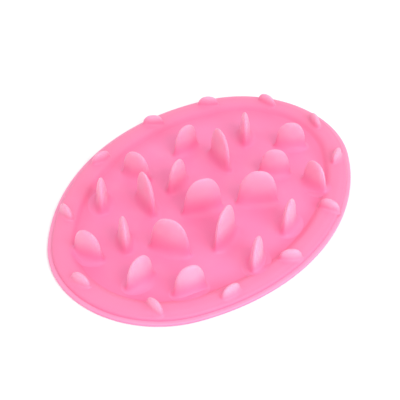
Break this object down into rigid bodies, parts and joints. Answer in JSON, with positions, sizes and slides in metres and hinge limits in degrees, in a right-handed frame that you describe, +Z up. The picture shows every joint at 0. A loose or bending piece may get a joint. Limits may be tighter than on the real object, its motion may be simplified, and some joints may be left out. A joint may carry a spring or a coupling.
{
  "type": "oval silicone mat with upright fins",
  "caption": "Soft oval silicone mat, moulded in one piece, with a thin lip, a low rolled rim and upright rounded fins standing on the floor and the rim.",
  "frame": {"origin": "centre of the flat underside, on the table", "axes": "+X along the oval's long axis, +Y across it, +Z up out of the table"},
  "size_m": [0.29, 0.21, 0.0334],
  "materials": {
    "silicone": "satin, soft, slightly translucent pink"
  },
  "bodies": {
    "root": {"floor_sheet": "silicone", "rim_bead": "silicone", "base_flange": "silicone", "floor_fin_01": "silicone", "floor_fin_02": "silicone", "floor_fin_03": "silicone", "floor_fin_04": "silicone", "floor_fin_05": "silicone", "floor_fin_06": "silicone", "floor_fin_07": "silicone", "floor_fin_08": "silicone", "floor_fin_09": "silicone", "floor_fin_10": "silicone", "floor_fin_11": "silicone", "floor_fin_12": "silicone", "floor_fin_13": "silicone", "floor_fin_14": "silicone", "floor_fin_15": "silicone", "floor_fin_16": "silicone", "floor_fin_17": "silicone", "floor_fin_18": "silicone", "floor_fin_19": "silicone", "floor_fin_20": "silicone", "rim_fin_01": "silicone", "rim_fin_02": "silicone", "rim_fin_03": "silicone", "rim_fin_04": "silicone", "rim_fin_05": "silicone", "rim_fin_06": "silicone", "rim_fin_07": "silicone", "rim_fin_08": "silicone", "rim_fin_09": "silicone", "rim_fin_10": "silicone", "rim_fin_11": "silicone", "rim_fin_12": "silicone"}
  },
  "joints": []
}
